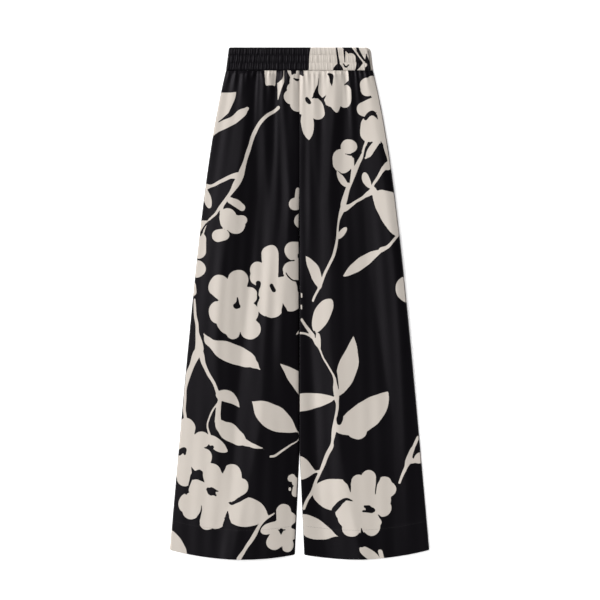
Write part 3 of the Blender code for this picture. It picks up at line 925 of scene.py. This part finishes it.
def backPanel(leg):
    # Outer side on the surface, with its outer edge curled up a little to meet the front, whose
    # print runs on over the curl. The rest shows the other leg's print, turned upside down, but for
    # a strip along the inseam painted black as shade for the groove between the fronts.
    side, other = legs[leg]["side"], "left" if leg == "right" else "right"
    curl, curlColumns = backMesh["curl"] * mm, backMesh["curlColumns"]
    across = bothEnds(backMesh["columns"] - curlColumns, backMesh["crowd"])[None, :]
    down = (np.linspace(0, 1, backMesh["rows"]) ** backMesh["crowdRows"])[:, None]
    x, depth = legPlan(across, down)
    z = backHeight(across, depth, leg) * mm
    edge = innerEdge(depth)
    share = (x - edge) / (halfWidth(depth) - edge)
    x = edge + share * (halfWidth(depth) - curl - edge)
    angles = np.radians(np.linspace(-90, backMesh["curlEnd"], curlColumns + 1)[1:])[None, :]
    curlX = x[:, -1:] + curl * np.cos(angles)
    curlZ = curl + curl * np.sin(angles) + z[:, -1:]
    allX = np.hstack([x, curlX])
    allZ = np.hstack([z, curlZ])
    allDepth = np.hstack([depth, np.broadcast_to(depth[:, -1:], curlX.shape)])
    outer = np.stack([side * allX, cut["waistY"] - allDepth, allZ], axis=2)
    ink = printField(-side * allX / mm, printing["backTurn"] - allDepth / mm, legPrint[other])
    rim = curlColumns + 2
    ink[:, -rim:] = printField(side * allX[:, -rim:] / mm, allDepth[:, -rim:] / mm, legPrint[leg])
    # Painted shade: the strip along the inseam, seen through the groove between the fronts, is set black
    # over the print
    ink[:, :printing["backShadeColumns"]] = printing["backShadeField"]
    return panelShell("back_panel_" + leg, side, outer, ink, flipped=True)


clothPieces = {}             # the CAD node that each stands for, and the piece
for leg in legs:
    clothPieces["leg_front_" + leg] = frontPanel(leg)
for leg in legs:
    clothPieces["leg_back_" + leg] = backPanel(leg)
print("legs made")


# The waistband, in millimetres
band = {
    "channels": 3,
    "gathers": 62,
    "columnsPerGather": 7,
    "base": 5.0,             # top of the band at a stitch line
    "foot": 3.9,             # where it meets the legs
    "puff": 1.1,
    "puffRound": 0.45,       # the power of a sine: less is fuller
    "gatherHeight": 0.6,
    "gatherRound": 0.55,
    "floor": 3.3,            # inside of the front half
    "lip": 0.3,              # how far above that its edges end
    "edgeRound": 2.4,        # how far in from each edge it rounds down
    "sideRound": 4.0,
    "footRound": 1.8,
    "cornerLeft": 3.0,
    "cornerRight": 9.0,
    "short": 4.0,            # how much further in the front's right end lies than the back's
    "waistIn": 0.4,          # and its waist edge
    "scallop": 0.7,          # how far the gathers move the waist edge
    "scallopFade": 6.0,      # and how far down that is felt
    "turned": 195.0,         # the back half shows the same print, turned about
}
bandBackHeights = {          # millimetres above the surface
    "edge": 1.4,
    "gather": 0.8,           # share of the gathers' relief that the back half keeps
    "inside": 1.6,
    "bulge": 1.3,            # how far its inside bulges up between its edges
    "round": 1.2,            # how far in from each edge it rounds
}


def bandHalf(u, depth):
    # Half the band's width: a straight slope, and an arc at the upper corner
    corner = np.where(u < 0.5, band["cornerLeft"], band["cornerRight"]) * mm
    slope = (cut["bandFoot"] - cut["waistWidth"]) / 2 / cut["bandHeight"]
    short = np.clip(corner - depth, 0, None)
    return cut["waistWidth"] / 2 + slope * depth - (corner - np.sqrt(corner ** 2 - short ** 2))


def bandRelief(u, depth, seed):
    # Channels puffed between stitch lines, as sin^puffRound, and round gathers with sharp valleys
    # between them, |cos|^gatherRound, which shift a little in each channel
    inChannel = depth / cut["bandHeight"] * band["channels"]
    channel = np.clip(np.floor(inChannel), 0, band["channels"] - 1)
    within = np.clip(inChannel - channel, 0, 1)
    puff = np.sin(math.pi * within) ** band["puffRound"]
    phase = u * band["gathers"] + 0.40 * np.sin(23 * u + seed) + 0.26 * np.sin(71 * u + 2 * seed)
    sway = 0.14 * np.sin(19 * u + 2.1 * channel + seed) + 0.12 * np.sin(53 * u + 1.3 * channel)
    phase = phase + sway * np.sin(math.pi * within)
    number = np.round(phase)
    uneven = 0.78 + 0.22 * np.sin(2.7 * number + 1.9 * channel + seed)
    ridge = np.abs(np.cos(math.pi * phase)) ** band["gatherRound"]
    relief = band["puff"] * puff * (0.85 + 0.15 * uneven)
    return relief + band["gatherHeight"] * uneven * ridge * (0.5 + 0.5 * puff), ridge


def bandFrontAt(u, depths):
    # Points of the front half's outer side, rounded down at all four edges
    half = bandHalf(u, depths)
    x = (2 * u - 1) * (half - cut["seamRoll"])
    depth = np.broadcast_to(depths, x.shape)
    relief, ridge = bandRelief(np.broadcast_to(u, x.shape), depth, seed=1.0)
    fromSide = (half - np.abs(x)) / mm / band["sideRound"]
    rounding = roundedOff(depth / mm / band["edgeRound"]) * roundedOff(fromSide)
    low = band["floor"] + band["lip"]
    top = low + (band["base"] - low + relief) * rounding
    fromFoot = roundedOff((cut["bandHeight"] - depth) / mm / band["footRound"])
    z = blendTo(low + (band["foot"] - low) * rounding, top, fromFoot) * mm
    shorter = 1 - np.where(u < 0.5, 0.0, band["short"] * mm / cut["waistWidth"] * 2)
    fade = np.clip(1 - depth / mm / band["scallopFade"], 0, 1)
    scallop = band["scallop"] * mm * (ridge - 0.6) * fade
    y = cut["waistY"] - band["waistIn"] * mm - depth + scallop
    y = np.minimum(y, cut["waistY"])
    y = np.where(depth > cut["bandHeight"] / 2, np.maximum(y, cut["waistY"] - cut["bandHeight"]), y)
    return np.stack([x * shorter, y, z], axis=2)


def bandBackAt(u, depths):
    # Points of the back half's outer side, which faces down and is gathered upwards only, and
    # of its inside, which bulges up between its edges
    heights = bandBackHeights
    half = bandHalf(u, depths)
    x = (2 * u - 1) * half
    depth = np.broadcast_to(depths, x.shape)
    relief, ridge = bandRelief(np.broadcast_to(u, x.shape), depth, seed=4.0)
    highest = band["puff"] + band["gatherHeight"]
    fromSide = (half - np.abs(x)) / mm / heights["round"]
    fromEdge = np.minimum(depth, cut["bandHeight"] - depth) / mm / heights["round"]
    rounding = roundedOff(fromSide) * roundedOff(fromEdge)
    lowest = heights["gather"] * (highest - relief)
    lower = (heights["edge"] - (heights["edge"] - lowest) * rounding) * mm
    upper = (heights["inside"] + heights["bulge"] * rounding) * mm
    y = cut["waistY"] - depth
    return np.stack([x, y, lower], axis=2), np.stack([x, y, upper], axis=2)


def bandRows(edges, first, last, count, footShare):
    # Depths of the rows, in metres: at the edges' distances from the waist edge, even from first
    # to last, and at a share of the edges' distances from the foot. All is given in millimetres.
    edges = np.array(edges) * mm
    middle = np.linspace(first * mm, cut["bandHeight"] - last * mm, count)
    return np.concatenate([edges, middle, cut["bandHeight"] - edges[::-1] * footShare])[:, None]


def bandFront(name):
    # Outer side over a flat inside
    columns = coarse * (band["gathers"] * band["columnsPerGather"] // coarse) + 1
    u = bothEnds(columns, crowd=0.15)[None, :]
    edges = (0, 0.12, 0.35, 0.7, 1.2, 1.9, 2.8)
    depths = bandRows(edges, first=3.8, last=2.6, count=59, footShare=0.8)
    outer = bandFrontAt(u, depths)
    under = outer.copy()
    under[:, :, 2] = band["floor"] * mm
    field = bandField(outer[:, :, 0] / mm, depths / mm + 0 * u)
    return closedGrid(name, outer, under, field)


def bandBack(name):
    # Outer side on the surface under its bulging inside
    u = bothEnds(count=365, crowd=0.2)[None, :]
    depths = bandRows((0, 0.15, 0.5, 1.2), first=2.4, last=2.0, count=37, footShare=1.0)
    outer, inner = bandBackAt(u, depths)
    field = bandField(band["turned"] - outer[:, :, 0] / mm, depths / mm + 0 * u)
    return closedGrid(name, outer, inner, field, flipped=True)


clothPieces["waistband_front"] = bandFront("band_front")
clothPieces["waistband_back"] = bandBack("band_back")
print("waistband made")


# The stitches, in millimetres
stitching = {
    "channelPitch": 3.0, "channelLength": 2.3, "channelRadius": 0.17,
    "channelStart": 3, "channelEnd": 5,      # how far in from each end the rows begin and end
    "hemPitch": 3.0, "hemLength": 2.2, "hemRadius": 0.19, "hemEnds": 4,
    "sides": 6,              # of the thread
    "arch": 1.3,             # how many radii its middle rises
}


def stitchRow(name, starts, ends, radius, up):
    # One thread loop per start and end: a tube along a low arch, thinning to a point at both ends
    # as sqrt(sin(pi share)), whose ends go into the cloth. up is 1 on the front, -1 on the back.
    share = np.array([0.0, 0.10, 0.30, 0.5, 0.70, 0.90, 1.0])
    turn = np.linspace(0, 2 * math.pi, stitching["sides"], endpoint=False)
    run = ends - starts
    along = run / np.linalg.norm(run, axis=1, keepdims=True)
    aside = np.cross(along, np.array([0, 0, 1.0]))
    aside /= np.linalg.norm(aside, axis=1, keepdims=True)
    upward = np.cross(aside, along)
    arch = np.sin(math.pi * share)
    centre = starts[:, None, :] + run[:, None, :] * share[None, :, None]
    lift = up * radius * (stitching["arch"] * arch - 1.0)
    centre = centre + upward[:, None, :] * lift[None, :, None]
    thick = radius * np.sqrt(arch[1:-1])
    ring = (aside[:, None, None, :] * np.cos(turn)[None, None, :, None]
            + upward[:, None, None, :] * np.sin(turn)[None, None, :, None])
    rings = centre[:, 1:-1, None, :] + ring * thick[None, :, None, None]
    count, levels, sides = rings.shape[:3]
    points = np.concatenate([rings.reshape(count, -1, 3), centre[:, :1], centre[:, -1:]], axis=1)
    index = np.arange(levels * sides).reshape(levels, sides)
    beside = np.roll(index, -1, axis=1)
    quads = np.stack([index[:-1], beside[:-1], beside[1:], index[1:]], axis=2).reshape(-1, 4)
    first, last = levels * sides, levels * sides + 1
    caps = np.concatenate([np.stack([beside[0], index[0], np.full(sides, first)], axis=1),
                           np.stack([index[-1], beside[-1], np.full(sides, last)], axis=1)])
    step = np.arange(count)[:, None, None] * points.shape[1]
    faces = (quads[None] + step).reshape(-1, 4).tolist()
    faces += (caps[None] + step).reshape(-1, 3).tolist()
    piece = newPiece(name, points, faces)
    piece.data.materials.append(thread)
    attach(piece, "root")
    return piece


def channelStitches(name, surface, up):
    # Rows along the band, one at each line between two channels
    pitch = stitching["channelPitch"] * mm
    last = cut["waistWidth"] - stitching["channelEnd"] * mm
    places = np.arange(stitching["channelStart"] * mm, last, pitch) / cut["waistWidth"]
    width = stitching["channelLength"] * mm / cut["waistWidth"]
    rows = [cut["bandHeight"] * number / band["channels"] for number in range(1, band["channels"])]
    starts = np.concatenate([surface(places[None, :], np.array([[row]]))[0] for row in rows])
    ends = np.concatenate([surface(places[None, :] + width, np.array([[row]]))[0] for row in rows])
    return stitchRow(name, starts, ends, stitching["channelRadius"] * mm, up)


def hemStitches(layer, leg, surface, up):
    # One row of running stitches along the upper edge of the hem's turn
    width = cut["hemHalf"] - cut["hemGap"] / 2
    first, last = stitching["hemEnds"] * mm, width - stitching["hemEnds"] * mm
    places = np.arange(first, last, stitching["hemPitch"] * mm) / width
    down = 1 - cut["hemTurn"] / (cut["length"] - cut["legTop"])
    made = []
    for across in (places, places + stitching["hemLength"] * mm / width):
        x, depth = legPlan(across[None, :], down, cut["seamRoll"], cut["groove"][leg])
        z = surface(across[None, :], depth, leg) * mm
        made.append(np.stack([legs[leg]["side"] * x, cut["waistY"] - depth, z], axis=2)[0])
    return stitchRow(f"hem_stitches_{layer}_{leg}", *made, stitching["hemRadius"] * mm, up)


for node, piece in clothPieces.items():
    piece.data.materials.append(satin)
    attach(piece, "root")
    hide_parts(node)

for leg in legs:
    hemStitches("front", leg, frontHeight, 1)
for leg in legs:
    hemStitches("back", leg, backHeight, -1)
channelStitches("channel_stitches_front", bandFrontAt, 1)
channelStitches(
    "channel_stitches_back", lambda u, depths: bandBackAt(u, depths)[0], -1)
print("stitches made")


# Floor and lights
stage = {
    "floor": 30.0,
    "floorBelow": 0.0002,    # under the cloth, in metres
    "floorColour": (0.96, 0.96, 0.96, 1.0),
    "grain": 60.0, "grainTone": 0.985,
    "ambient": 0.08,
    "glow": 0.35,            # lifts the floor to plain white, also where the cloth shades it
    "keyTilt": 62, "keyTurn": -72, "keyPower": 5.4, "keySpread": 80,
    "fillTilt": 24, "fillTurn": -80, "fillPower": 0.5, "fillSpread": 40,
}
camera = {
    "lens": 120.0, "sensor": 36.0, "clip": 50.0,
    "pixels": 600, "pixel": 2.053,           # the picture's width, and millimetres for each
    "aimX": 0.001, "aimY": 0.00667,
}

bpy.ops.mesh.primitive_plane_add(size=stage["floor"], location=(0, 0, -stage["floorBelow"]))
floor = bpy.context.object
floor.name = "floor"
floorFinish = Finish("floor_paper")
grain = floorFinish.add("ShaderNodeTexNoise", {}, {"Scale": stage["grain"], "Detail": 2.0},
                        output="Fac")
tone = tuple(stage["grainTone"] * part for part in stage["floorColour"][:3]) + (1.0,)
paper = floorFinish.mixed(grain, stage["floorColour"], tone)
floor.data.materials.append(floorFinish.shade(
    Base_Color=paper, Roughness=0.9, Specular_IOR_Level=0.0,
    Emission_Color=stage["floorColour"], Emission_Strength=stage["glow"]))


def softSun(name, tilt, turn, power, spread):
    # A sun that stands tilt degrees off the vertical, turned from +Y towards +X
    lamp = bpy.data.lights.new(name, "SUN")
    lamp.energy = power
    lamp.angle = math.radians(spread)
    holder = bpy.data.objects.new(name, lamp)
    holder.rotation_euler = (math.radians(-tilt), 0, math.radians(-turn))
    bpy.context.scene.collection.objects.link(holder)


softSun("key", stage["keyTilt"], stage["keyTurn"], stage["keyPower"], stage["keySpread"])
softSun("fill", stage["fillTilt"], stage["fillTurn"], stage["fillPower"], stage["fillSpread"])

world = bpy.data.worlds.new("studio")
world.use_nodes = True
background = world.node_tree.nodes["Background"]
background.inputs["Color"].default_value = (1.0, 1.0, 1.0, 1.0)
background.inputs["Strength"].default_value = stage["ambient"]
bpy.context.scene.world = world
bpy.context.scene.view_settings.view_transform = "Standard"

eye = bpy.data.cameras.new("camera")
eye.lens = camera["lens"]
eye.sensor_width = camera["sensor"]
eye.clip_end = camera["clip"]
height = camera["pixels"] * camera["pixel"] * mm * camera["lens"] / camera["sensor"]
eyeHolder = bpy.data.objects.new("camera", eye)
eyeHolder.location = (camera["aimX"], camera["aimY"], height)
bpy.context.scene.collection.objects.link(eyeHolder)
bpy.context.scene.camera = eyeHolder

print("scene made")
